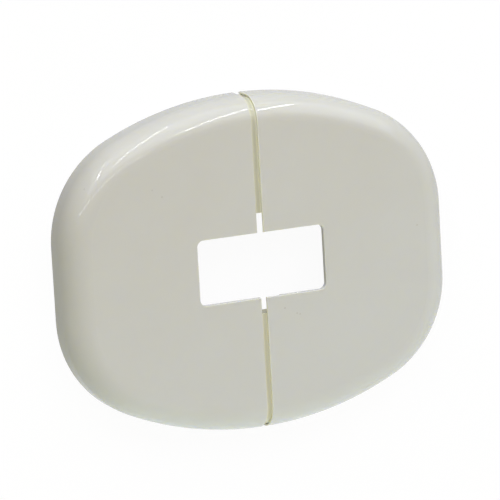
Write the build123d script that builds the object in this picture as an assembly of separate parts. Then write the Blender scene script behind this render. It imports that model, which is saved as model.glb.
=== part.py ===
from build123d import *
import os

# Pipe rosette: an oval cover plate with a rolled rim and a rectangular opening for a pipe or a post.
# It is split across its short side into two moulded half shells, which plug together round the post.
# The plate lies face up on its back rim. X runs along its long side, Y across it and Z away from the wall.
# The origin is the middle of the opening on the plane of the back rim. All sizes are in millimetres.

# The plate: straight short sides, gently bowed long sides, round corners and a rolled front edge.
PLATE_WIDTH = 128.0
PLATE_HEIGHT = 105.0
PLATE_DEPTH = 13.4
BOW_RADIUS = 103.5
CORNER_RADIUS = 34.4
EDGE_RADIUS = 7.9
WALL = 1.6

# The opening that the post passes through.
OPENING_WIDTH = 42.4
OPENING_HEIGHT = 20.5
OPENING_CORNER_RADIUS = 2.0

# The seam: a tongue on the left half lies behind a thin lip on the right half, with an open gap in front
# that is a little wider above the opening than below it.
UPPER_GAP = 2.04
LOWER_GAP = 1.76
LIP = 0.6
LAP_CLEARANCE = 0.2
UPPER_SETBACK = 6.05
LOWER_SETBACK = 5.05
TONGUE_OVERLAP = 4.5

# The rib that stiffens the end of each tongue, which shows at the bottom of the open slot.
RIB_THICKNESS = 1.2
RIB_DEPTH = 5.6

# The ledge on the right half that keeps the tongue up against the lip.
LEDGE_THICKNESS = 1.2
LEDGE_REACH = 3.0
LEDGE_ROOT = 1.6
LEDGE_INSET = 3.0

# The small rounding of the edges that show along the seam and round the opening.
EDGE_BREAK = 0.2

TONGUE_TIP = UPPER_GAP / 2 + TONGUE_OVERLAP
REBATE_END = TONGUE_TIP + LAP_CLEARANCE
UPPER_START = OPENING_HEIGHT / 2 + UPPER_SETBACK
LOWER_START = OPENING_HEIGHT / 2 + LOWER_SETBACK
TONGUE_FRONT = PLATE_DEPTH - LIP - LAP_CLEARANCE


def block(x_limits, y_limits, z_limits):
    """A box between two limits along each axis."""
    limits = (x_limits, y_limits, z_limits)
    sizes = [high - low for low, high in limits]
    centre = [(low + high) / 2 for low, high in limits]
    return Pos(*centre) * Box(*sizes)


def across(near, far, y_limits):
    """Everything between two places along the long side, over part of the short side."""
    return block((min(near, far), max(near, far)), y_limits, (-PLATE_DEPTH, 2 * PLATE_DEPTH))


def beside_seam(end):
    """Everything from the open seam to one end of the plate."""
    side = end / abs(end)
    upper = across(side * UPPER_GAP / 2, end, (0, PLATE_HEIGHT))
    return upper + across(side * LOWER_GAP / 2, end, (-PLATE_HEIGHT, 0))


def outline(inset):
    """The plate's outline, moved inward: two straight sides, two bows and four tangent corners."""
    bow_centre = PLATE_HEIGHT / 2 - BOW_RADIUS
    bow = Circle(BOW_RADIUS - inset)
    shape = Rectangle(PLATE_WIDTH - 2 * inset, 2 * PLATE_HEIGHT)
    shape = shape & Pos(0, bow_centre) * bow & Pos(0, -bow_centre) * bow
    return fillet(shape.vertices(), CORNER_RADIUS - inset)


def dome(inset):
    """The solid under the plate's outer surface, with that surface moved inward."""
    body = extrude(outline(inset), PLATE_DEPTH - inset)
    return fillet(body.edges().group_by(Axis.Z)[-1], EDGE_RADIUS - inset)


def opening():
    """The post's opening, through the whole depth."""
    cut = RectangleRounded(OPENING_WIDTH, OPENING_HEIGHT, OPENING_CORNER_RADIUS)
    return extrude(cut, 2 * PLATE_DEPTH, both=True)


def break_edges(half):
    """Rounds the edges of a half that show: along the seam, and round the front of the opening."""
    post_x = OPENING_WIDTH / 2 + EDGE_BREAK
    post_y = OPENING_HEIGHT / 2 + EDGE_BREAK
    shown = []
    for edge in half.edges():
        middle = edge @ 0.5
        gap = UPPER_GAP if middle.Y > 0 else LOWER_GAP
        in_seam = abs(abs(middle.X) - gap / 2) < EDGE_BREAK and middle.Z > EDGE_BREAK
        at_front = middle.Z > PLATE_DEPTH - EDGE_BREAK
        beside_post = abs(middle.X) < post_x and abs(middle.Y) < post_y
        if (in_seam and not beside_post) or (at_front and beside_post):
            shown.append(edge)
    return fillet(shown, EDGE_BREAK)


def above_and_below(make):
    """A feature of the seam above the opening, and its mirror image below it."""
    return [make(UPPER_START), mirror(make(LOWER_START), about=Plane.XZ)]


def tongue(start):
    """The thin strip that follows the plate's surface behind the lip."""
    strip = block((-UPPER_GAP / 2 - WALL, TONGUE_TIP), (start, PLATE_HEIGHT), (0, PLATE_DEPTH))
    return dome(LIP + LAP_CLEARANCE) & strip


def rib(start):
    """The wall under the end of a tongue."""
    along = (start, start + RIB_THICKNESS)
    height = (TONGUE_FRONT - RIB_DEPTH, TONGUE_FRONT)
    return block((-LOWER_GAP / 2, TONGUE_TIP), along, height)


def ledge(start):
    """The hooked ledge that the back of a tongue slides on."""
    along = (start + LEDGE_INSET, PLATE_HEIGHT / 2 - EDGE_RADIUS - LEDGE_INSET)
    top = PLATE_DEPTH - WALL - LAP_CLEARANCE
    bottom = top - LEDGE_THICKNESS
    root_end = REBATE_END + LEDGE_ROOT
    shelf = block((REBATE_END - LEDGE_REACH, root_end), along, (bottom, top))
    return shelf + block((REBATE_END, root_end), along, (bottom, PLATE_DEPTH - WALL / 2))


def left_half(outer, hollow):
    """The half with the two tongues."""
    body = break_edges((outer & beside_seam(-PLATE_WIDTH)) - opening())
    body += above_and_below(tongue)
    body -= hollow
    return body + above_and_below(rib)


def right_half(outer, hollow):
    """The half with the thin lips along its seam, and the ledges behind them."""
    body = break_edges((outer & beside_seam(PLATE_WIDTH)) - opening())
    body -= dome(LIP) & across(0, REBATE_END, (-PLATE_HEIGHT, PLATE_HEIGHT))
    body -= hollow
    return body + above_and_below(ledge)


plate = dome(0)
inside = dome(WALL)
os.makedirs("parts", exist_ok=True)
export_step(left_half(plate, inside), "parts/left_half.step")
export_step(right_half(plate, inside), "parts/right_half.step")
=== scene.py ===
import math
import bpy
from mathutils import Matrix, Vector


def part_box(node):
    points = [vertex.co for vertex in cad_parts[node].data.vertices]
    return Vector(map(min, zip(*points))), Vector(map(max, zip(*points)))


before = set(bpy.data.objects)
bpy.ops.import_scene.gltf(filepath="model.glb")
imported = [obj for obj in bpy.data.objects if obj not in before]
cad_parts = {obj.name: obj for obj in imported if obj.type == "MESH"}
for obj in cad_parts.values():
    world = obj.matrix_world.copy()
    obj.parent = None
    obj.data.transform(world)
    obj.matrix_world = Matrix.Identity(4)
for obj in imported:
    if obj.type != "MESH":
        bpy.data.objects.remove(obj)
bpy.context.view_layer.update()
scene = bpy.context.scene
scene.view_settings.view_transform = "Standard"

# Left half
# The moulded shell that carries the tongues: one shot of glossy off-white plastic, polished outside.
# Its tongues slide under the lips of the right half, so a bare strip of them shows in the groove. That strip
# is
# painted with light and shade: lit at the seam wall, painted shade in the middle, painted light under the
# lip.
MM = 0.001
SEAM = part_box("right_half")[0].x
WALL_BLUR = 0.05 * MM
# The tongue's tints across the groove paint its light and shade: lit at the seam wall, painted shade in the
# middle, painted light under the lip, and the tongue's own colour beyond.
TONGUE_EDGE_PAINTED_LIGHT = (0.630, 0.611, 0.470, 1)
TONGUE_PAINTED_SHADE = (0.470, 0.456, 0.345, 1)
PAINTED_SHADE_FROM = -0.03 * MM
TONGUE_SHADED = (0.480, 0.466, 0.350, 1)
SHADED_TO = 0.47 * MM
TONGUE_UNDER_LIP_PAINTED_LIGHT = (0.800, 0.776, 0.600, 1)
UNDER_LIP_FROM = 1.0 * MM
TONGUE_CLEAN = (0.540, 0.528, 0.450, 1)
CLEAN_FROM = 1.5 * MM
LOWER_TONGUE_PAINTED_LIGHTER = 1.13
POST_SIDE = 10.0 * MM
TONGUE_END_PAINTED_SHADE = (0.390, 0.370, 0.210, 1)
END_FACING = 0.7
SLOT_END = 17.5 * MM


def add(tree, kind, inputs=None, **settings):
    """Adds one shader node; an input is given a plain value or the socket that feeds it."""
    made = tree.nodes.new("ShaderNode" + kind)
    for name, value in settings.items():
        setattr(made, name, value)
    for socket, value in (inputs or {}).items():
        if isinstance(value, bpy.types.NodeSocket):
            tree.links.new(value, made.inputs[socket])
        else:
            made.inputs[socket].default_value = value
    return made


def tongue_in_groove(tree, place):
    """Where the tongue starts beyond the left half's seam wall, and its tint from there on, with painted
    light and shade.
    """
    where = add(tree, "SeparateXYZ", {"Vector": place})
    across = where.outputs["X"]
    along = where.outputs["Y"]
    beyond_wall = add(tree, "MapRange", {"Value": across, "From Min": -SEAM - WALL_BLUR,
                                         "From Max": -SEAM + WALL_BLUR}).outputs[0]

    # The ramp paints the groove's light and shade across the tongue, from the seam wall to under the lip.
    reached = add(tree, "MapRange", {"Value": across, "From Min": -SEAM, "From Max": CLEAN_FROM}).outputs[0]
    tint = add(tree, "ValToRGB", {"Fac": reached})
    stops = tint.color_ramp.elements
    stops[0].color = TONGUE_EDGE_PAINTED_LIGHT
    stops[1].color = TONGUE_CLEAN
    for start, colour in ((PAINTED_SHADE_FROM, TONGUE_PAINTED_SHADE), (SHADED_TO, TONGUE_SHADED),
                          (UNDER_LIP_FROM, TONGUE_UNDER_LIP_PAINTED_LIGHT)):
        stops.new((start + SEAM) / (CLEAN_FROM + SEAM)).color = colour
    # Painted light: the lower tongue is painted paler, standing in for the extra light that reaches the
    # lower groove.
    painted_lighter = add(tree, "MapRange", {"Value": along, "From Min": -POST_SIDE, "From Max": POST_SIDE,
                                   "To Min": LOWER_TONGUE_PAINTED_LIGHTER, "To Max": 1.0}).outputs[0]
    strip = add(tree, "VectorMath", {0: tint.outputs["Color"], "Scale": painted_lighter}, operation="SCALE")

    # Painted shade: the end face of the tongue that faces up into the lower slot is painted dark.
    normal = add(tree, "NewGeometry").outputs["Normal"]
    turned = add(tree, "SeparateXYZ", {"Vector": normal}).outputs["Y"]
    cut = add(tree, "Math", {0: turned, 1: END_FACING}, operation="GREATER_THAN").outputs[0]
    in_slot = add(tree, "Math", {0: along, 1: 0.0, 2: SLOT_END}, operation="COMPARE").outputs[0]
    end = add(tree, "Math", {0: cut, 1: in_slot}, operation="MULTIPLY").outputs[0]
    tongue = add(tree, "Mix", {"Factor": end, "A": strip.outputs["Vector"], "B": TONGUE_END_PAINTED_SHADE},
                 data_type="RGBA")
    return beyond_wall, tongue.outputs["Result"]


DUST = (0.47, 0.455, 0.41, 1)
DUST_GRAIN = 2600.0
SPECK_LEAST = 0.4
SPECK_MOST = 1.6


def dust_specks(tree, place, specks):
    """1 on each ragged speck of dust, given by its place on the shell and its radius in millimetres."""
    ragged = add(tree, "TexNoise", {"Vector": place, "Scale": DUST_GRAIN, "Detail": 1.0})
    mask = 0.0
    for x, y, z, radius in specks:
        centre = (x * MM, y * MM, z * MM)
        away = add(tree, "VectorMath", {0: place, 1: centre}, operation="DISTANCE").outputs["Value"]
        reach = add(tree, "MapRange", {"Value": ragged.outputs["Fac"], "To Min": SPECK_LEAST * radius * MM,
                                       "To Max": SPECK_MOST * radius * MM}).outputs[0]
        inside = add(tree, "Math", {0: away, 1: reach}, operation="LESS_THAN").outputs[0]
        mask = add(tree, "Math", {0: inside, 1: mask}, operation="MAXIMUM").outputs[0]
    return mask


PLASTIC_COOL = (0.555, 0.556, 0.529, 1)
PLASTIC_WARM = (0.528, 0.516, 0.474, 1)
# The shell's tone drifts across it, warmer and darker towards the upper left, cooler and paler towards the
# lower right.
TONE_DRIFT = (3.7, -11.8, 0.0)
MOTTLE_SCALE = 38.0
MOTTLE_NOISE = (0.3, 0.7)
MOTTLE_SHARE = (0.35, 0.65)
RUB_TURN = (0, 0, 0.5)
RUB_SCALE = (60.0, 900.0, 60.0)
RUB_NOISE = (0.45, 0.75)
POLISHED = 0.03
RUBBED = 0.05
SWELL_SCALE = 55.0
SWELL_HEIGHT = 0.03 * MM
SKIN_SCALE = 900.0
SKIN_HEIGHT = 0.0003 * MM
GLOSS_LEVEL = 0.3
SCATTER_SHARE = 0.6
SCATTER_BY_COLOUR = (1.0, 0.9, 0.5)
SCATTER_REACH = 1.0 * MM


def moulded_plastic(name, seam_part, specks):
    """Polished off-white plastic, faintly mottled, with dust, rub marks, the swell of a moulding and painted
    light and shade at the seam.
    """
    material = bpy.data.materials.new(name)
    material.use_nodes = True
    tree = material.node_tree
    shader = tree.nodes["Principled BSDF"]
    place = add(tree, "TexCoord").outputs["Object"]

    mottle = add(tree, "TexNoise", {"Vector": place, "Scale": MOTTLE_SCALE, "Detail": 3.0, "Roughness": 0.6})
    uneven = add(tree, "MapRange", {"Value": mottle.outputs["Fac"],
                                    "From Min": MOTTLE_NOISE[0], "From Max": MOTTLE_NOISE[1],
                                    "To Min": MOTTLE_SHARE[0], "To Max": MOTTLE_SHARE[1]})
    drift = add(tree, "VectorMath", {0: place, 1: TONE_DRIFT}, operation="DOT_PRODUCT").outputs["Value"]
    tone = add(tree, "Math", {0: uneven.outputs[0], 1: drift}, operation="ADD", use_clamp=True)
    shell = add(tree, "Mix", {"Factor": tone.outputs[0], "A": PLASTIC_WARM, "B": PLASTIC_COOL},
                data_type="RGBA")
    at_seam, tint = seam_part(tree, place)
    body = add(tree, "Mix", {"Factor": at_seam, "A": shell.outputs["Result"], "B": tint}, data_type="RGBA")
    dusty = dust_specks(tree, place, specks)
    colour = add(tree, "Mix", {"Factor": dusty, "A": body.outputs["Result"], "B": DUST}, data_type="RGBA")
    tree.links.new(colour.outputs["Result"], shader.inputs["Base Color"])

    rubbing = add(tree, "Mapping", {"Vector": place, "Rotation": RUB_TURN, "Scale": RUB_SCALE})
    rubs = add(tree, "TexNoise", {"Vector": rubbing.outputs[0], "Scale": 1.0, "Detail": 4.0})
    polish = add(tree, "MapRange", {"Value": rubs.outputs["Fac"],
                                    "From Min": RUB_NOISE[0], "From Max": RUB_NOISE[1],
                                    "To Min": POLISHED, "To Max": RUBBED})
    tree.links.new(polish.outputs[0], shader.inputs["Roughness"])

    swell = add(tree, "TexNoise", {"Vector": place, "Scale": SWELL_SCALE, "Detail": 1.0})
    swollen = add(tree, "Bump", {"Height": swell.outputs["Fac"], "Strength": 1.0, "Distance": SWELL_HEIGHT})
    skin = add(tree, "TexNoise", {"Vector": place, "Scale": SKIN_SCALE, "Detail": 2.0})
    fine = add(tree, "Bump", {"Height": skin.outputs["Fac"], "Strength": 1.0, "Distance": SKIN_HEIGHT,
                              "Normal": swollen.outputs[0]})
    tree.links.new(fine.outputs[0], shader.inputs["Normal"])
    shader.inputs["Specular IOR Level"].default_value = GLOSS_LEVEL
    shader.inputs["Subsurface Weight"].default_value = SCATTER_SHARE
    shader.inputs["Subsurface Radius"].default_value = SCATTER_BY_COLOUR
    shader.inputs["Subsurface Scale"].default_value = SCATTER_REACH
    return material


LEFT_SPECKS = (
    (-55.9, 30.5, 10.4, 0.30),
    (-35.0, 28.0, 13.4, 0.25),
    (-31.9, 25.5, 13.4, 0.28))
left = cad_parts["left_half"]
left.data.materials.clear()
left.data.materials.append(moulded_plastic("left_plastic", tongue_in_groove, LEFT_SPECKS))

# Right half
# The moulded shell with the thin lips that lap over the tongues, of the same plastic and polish.
# Light shining through the lips is painted on: their edges and backs are painted paler than the shell.
# Painted light: the lips' edges and backs are painted paler, standing in for light shining through the thin
# plastic.
LIP_EDGE_PAINTED_LIGHT = (0.680, 0.667, 0.558, 1)
LIP_REACH = 2.0 * MM
EDGE_FACING = (0.2, 0.8)
BACK_DEPTH = 3.0 * MM
RIGHT_SPECKS = (
    (53.2, 5.8, 13.4, 0.25),
    (6.8, -14.4, 13.4, 0.28),
    (10.8, -16.6, 13.4, 0.25),
    (11.8, -17.0, 13.4, 0.25))


def lip_edge(tree, place):
    """The edge of the lips, which faces the left half across the groove, with their backs, and its painted
    light.
    """
    normal = add(tree, "NewGeometry").outputs["Normal"]
    facing = add(tree, "VectorMath", {0: normal, 1: (-1, 0, 0)}, operation="DOT_PRODUCT").outputs["Value"]
    edge = add(tree, "MapRange", {"Value": facing, "From Min": EDGE_FACING[0],
                                  "From Max": EDGE_FACING[1]}).outputs[0]
    outward = add(tree, "VectorMath", {0: normal, 1: place}, operation="DOT_PRODUCT").outputs["Value"]
    back = add(tree, "Math", {0: outward, 1: -BACK_DEPTH}, operation="LESS_THAN").outputs[0]
    thin = add(tree, "Math", {0: edge, 1: back}, operation="MAXIMUM").outputs[0]
    across = add(tree, "SeparateXYZ", {"Vector": place}).outputs["X"]
    near = add(tree, "Math", {0: across, 1: SEAM + LIP_REACH}, operation="LESS_THAN").outputs[0]
    return add(tree, "Math", {0: thin, 1: near}, operation="MULTIPLY").outputs[0], LIP_EDGE_PAINTED_LIGHT


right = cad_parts["right_half"]
right.data.materials.clear()
right.data.materials.append(moulded_plastic("right_plastic", lip_edge, RIGHT_SPECKS))

# Floor
# Plain white paper sheet that the plate lies on. The eye sees it almost white, with a faint shadow, and
# the gloss of the plastic mirrors it a little less white. It lights the plate only as dim grey paper does.
FLOOR_SIZE = 8.0
FLOOR_WHITE = 0.95
WHITE_IN_GLOSS = 0.75
WHITE = (1, 1, 1, 1)
SHADED_PAPER = (0.90, 0.90, 0.90, 1)
DIM_PAPER = (0.20, 0.20, 0.20, 1)


def seen_rays(tree):
    """1 for rays from the eye and for rays that mirror or pass through a surface, 0 for the rest."""
    path = add(tree, "LightPath").outputs
    seen = add(tree, "Math", {0: path["Is Camera Ray"], 1: path["Is Glossy Ray"]}, operation="MAXIMUM")
    return add(tree, "Math", {0: seen.outputs[0], 1: path["Is Transmission Ray"]},
               operation="MAXIMUM").outputs[0]


def white_seen(tree):
    """The brightness of the white surroundings: full to the eye, and a little less in the gloss."""
    glossy = add(tree, "LightPath").outputs["Is Glossy Ray"]
    return add(tree, "MapRange", {"Value": glossy, "To Min": 1.0, "To Max": WHITE_IN_GLOSS}).outputs[0]


bpy.ops.mesh.primitive_plane_add(size=FLOOR_SIZE)
floor = bpy.context.object
floor.name = "floor"
paper = bpy.data.materials.new("pale_floor")
paper.use_nodes = True
tree = paper.node_tree
tree.nodes.remove(tree.nodes["Principled BSDF"])
dim = add(tree, "BsdfDiffuse", {"Color": DIM_PAPER})
shaded = add(tree, "BsdfDiffuse", {"Color": SHADED_PAPER})
white = add(tree, "Emission", {"Color": WHITE, "Strength": white_seen(tree)})
seen = add(tree, "MixShader", {"Fac": FLOOR_WHITE, 1: shaded.outputs[0], 2: white.outputs[0]})
sheet = add(tree, "MixShader", {"Fac": seen_rays(tree), 1: dim.outputs[0], 2: seen.outputs[0]})
tree.links.new(sheet.outputs[0], tree.nodes["Material Output"].inputs["Surface"])
floor.data.materials.append(paper)

# Studio light
# A white room with a dim light of its own, and four softboxes round the plate. Of these only the key has a
# mirror image in the gloss, and five thin bright tubes draw the fine lines along the rolled edge.
ROOM_LIGHT = (0.310, 0.250, 0.100, 1)
SOFTBOX_DISTANCE = 1.8
TUBE_DISTANCE = 1.7
TUBE_WIDTH = 0.03
TUBE_TONE = (0.97, 0.98, 1.0)
world = bpy.data.worlds.new("studio")
scene.world = world
world.use_nodes = True
tree = world.node_tree
room = tree.nodes["Background"]
room.inputs["Color"].default_value = ROOM_LIGHT
room.inputs["Strength"].default_value = 1.0
backdrop = add(tree, "Background", {"Color": WHITE, "Strength": white_seen(tree)})
seen_room = add(tree, "MixShader", {"Fac": seen_rays(tree), 1: room.outputs[0], 2: backdrop.outputs[0]})
tree.links.new(seen_room.outputs[0], tree.nodes["World Output"].inputs["Surface"])


def direction(azimuth, elevation):
    """The way from the plate to a lamp, counted from +X towards +Y and up from the floor, in degrees."""
    around = math.radians(azimuth)
    up = math.radians(elevation)
    return Vector((math.cos(around) * math.cos(up), math.sin(around) * math.cos(up), math.sin(up)))


def rectangle_lamp(name, middle, upright, width, height, radiance):
    """A rectangular lamp that faces the plate, with its height along a given direction."""
    light = bpy.data.lights.new(name, "AREA")
    light.shape = "RECTANGLE"
    light.size = width
    light.size_y = height
    light.energy = math.pi * width * height * max(radiance)
    light.color = [value / max(radiance) for value in radiance]
    lamp = bpy.data.objects.new(name, light)
    scene.collection.objects.link(lamp)
    long_side = upright.normalized()
    back = (middle - long_side * middle.dot(long_side)).normalized()
    turned = Matrix((long_side.cross(back), long_side, back)).transposed().to_4x4()
    lamp.matrix_world = Matrix.Translation(middle) @ turned
    lamp.visible_camera = False
    return lamp


def softbox(name, azimuth, elevation, width, height, radiance, mirrored=False):
    """A soft lamp of an even brightness, with or without a mirror image in the gloss."""
    middle = direction(azimuth, elevation) * SOFTBOX_DISTANCE
    upright = direction(azimuth, elevation + 90.0)
    lamp = rectangle_lamp(name, middle, upright, width, height, radiance)
    lamp.visible_glossy = mirrored


softbox("key", azimuth=82.0, elevation=34.0, width=4.0, height=1.9,
        radiance=(1.48, 1.66, 2.00), mirrored=True)
softbox("overhead_left", azimuth=180.0, elevation=76.0, width=2.0, height=1.2,
        radiance=(0.32, 0.38, 0.51))
softbox("front_bounce", azimuth=285.0, elevation=5.0, width=2.4, height=0.3,
        radiance=(15.8, 17.4, 19.2))
softbox("front_left_bounce", azimuth=238.0, elevation=5.0, width=1.0, height=0.3,
        radiance=(3.0, 4.1, 3.0))
for name, start, end, brightness in (
        ("tube_seam_left", (70.5, 59.0), (65.0, 26.0), 34.0),
        ("tube_seam_right", (59.0, 40.0), (57.0, 18.0), 34.0),
        ("tube_corner", (108.0, 50.0), (88.0, 11.0), 34.0),
        ("tube_side", (133.0, 41.0), (113.0, 3.0), 40.0),
        ("tube_overhead", (164.4, 31.4), (54.1, 70.3), 13.0)):
    foot = direction(*start) * TUBE_DISTANCE
    reach = direction(*end) * TUBE_DISTANCE - foot
    radiance = [share * brightness for share in TUBE_TONE]
    rectangle_lamp(name, foot + reach / 2, reach, TUBE_WIDTH, reach.length, radiance)

# Camera
# Looks down on the plate from its upper left, from as far away as the photograph's flat perspective asks.
# Its focal length is counted in pixels of the square image and turned into millimetres on the sensor.
TURN = math.radians(22.916)
TILT = math.radians(11.378)
ROLL = math.radians(3.273)
DISTANCE = 1.54377
OFF_AXIS = (-0.001542, -0.002573)
FOCAL_PIXELS = 4966.36
IMAGE_PIXELS = 500
SENSOR_WIDTH = 36.0
camera = bpy.data.cameras.new("camera")
camera.sensor_width = SENSOR_WIDTH
camera.lens = SENSOR_WIDTH * FOCAL_PIXELS / IMAGE_PIXELS
eye = bpy.data.objects.new("camera", camera)
scene.collection.objects.link(eye)
turn = Matrix.Rotation(ROLL, 4, "Z") @ Matrix.Rotation(TILT, 4, "X") @ Matrix.Rotation(TURN, 4, "Y")
eye.matrix_world = (Matrix.Translation((*OFF_AXIS, -DISTANCE)) @ turn).inverted()
scene.camera = eye
